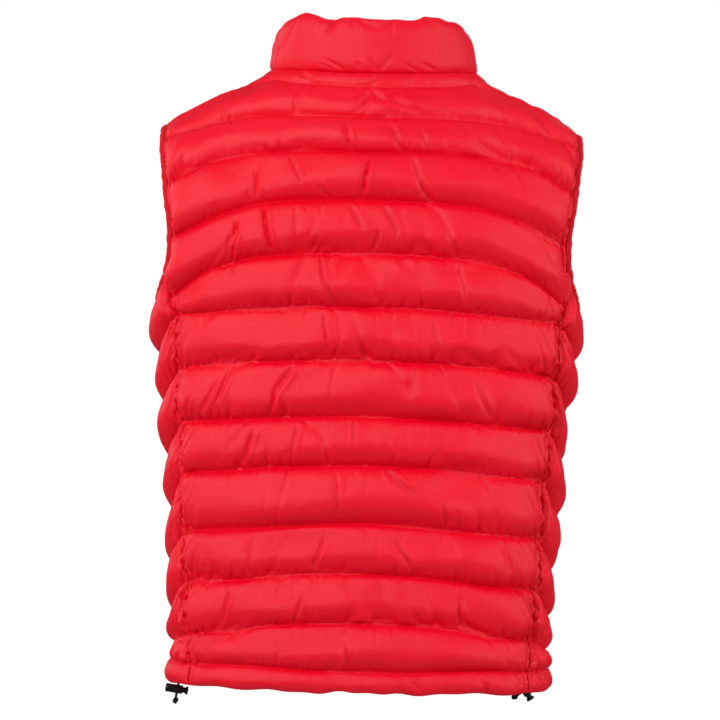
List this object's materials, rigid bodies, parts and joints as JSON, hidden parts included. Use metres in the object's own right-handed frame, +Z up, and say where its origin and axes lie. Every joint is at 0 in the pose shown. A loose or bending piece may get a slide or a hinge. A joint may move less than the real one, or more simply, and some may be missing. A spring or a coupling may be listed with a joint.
{
  "type": "puffer vest",
  "caption": "Sleeveless quilted padded vest with a stand collar, full zip and hem drawcords, filled out as worn, with neck, armholes and hem open.",
  "frame": {"origin": "middle of the neck opening, level with the seam that joins the collar to the back; it is where the wearer's neck and shoulders hold the vest", "axes": "+Z up, -Y towards the front of the vest, +X towards the wearer's left"},
  "size_m": [0.4768, 0.2672, 0.755],
  "materials": {
    "shell": "vivid red woven nylon with a soft sheen, quilted over light fill",
    "tape": "dull red woven tape",
    "cord": "black braided elastic cord",
    "plastic": "glossy black moulded plastic",
    "metal": "black lacquered die-cast metal"
  },
  "bodies": {
    "vest": {"back_panel": "shell", "side_panel_left": "shell", "side_panel_right": "shell", "front_left": "shell", "front_right": "shell", "collar": "shell", "armhole_binding_left": "tape", "armhole_binding_right": "tape", "zip_tape_left": "tape", "zip_tape_right": "tape", "zip_slider": "metal", "drawcord_left": "cord", "drawcord_right": "cord", "drawcord_knot_left": "cord", "drawcord_knot_right": "cord", "cord_lock_left": "plastic", "cord_lock_right": "plastic"},
    "zip_pull": {"zip_pull_tab": "metal"},
    "plunger_left": {"cord_plunger_left": "plastic"},
    "plunger_right": {"cord_plunger_right": "plastic"}
  },
  "joints": [
    {"name": "zip_pull_swing", "type": "hinge", "parent": "vest", "child": "zip_pull", "pos_m": [0, -0.09001, -0.01783], "axis": [-1, 0, 0], "range_deg": [0, 150]},
    {"name": "cord_plunger_left_press", "type": "slide", "parent": "vest", "child": "plunger_left", "axis": [0.9902, 0, 0.14], "range_m": [0, 0.0029], "stiffness_N_per_m": 400},
    {"name": "cord_plunger_right_press", "type": "slide", "parent": "vest", "child": "plunger_right", "axis": [0.5291, 0, 0.8486], "range_m": [0, 0.0029], "stiffness_N_per_m": 400}
  ]
}
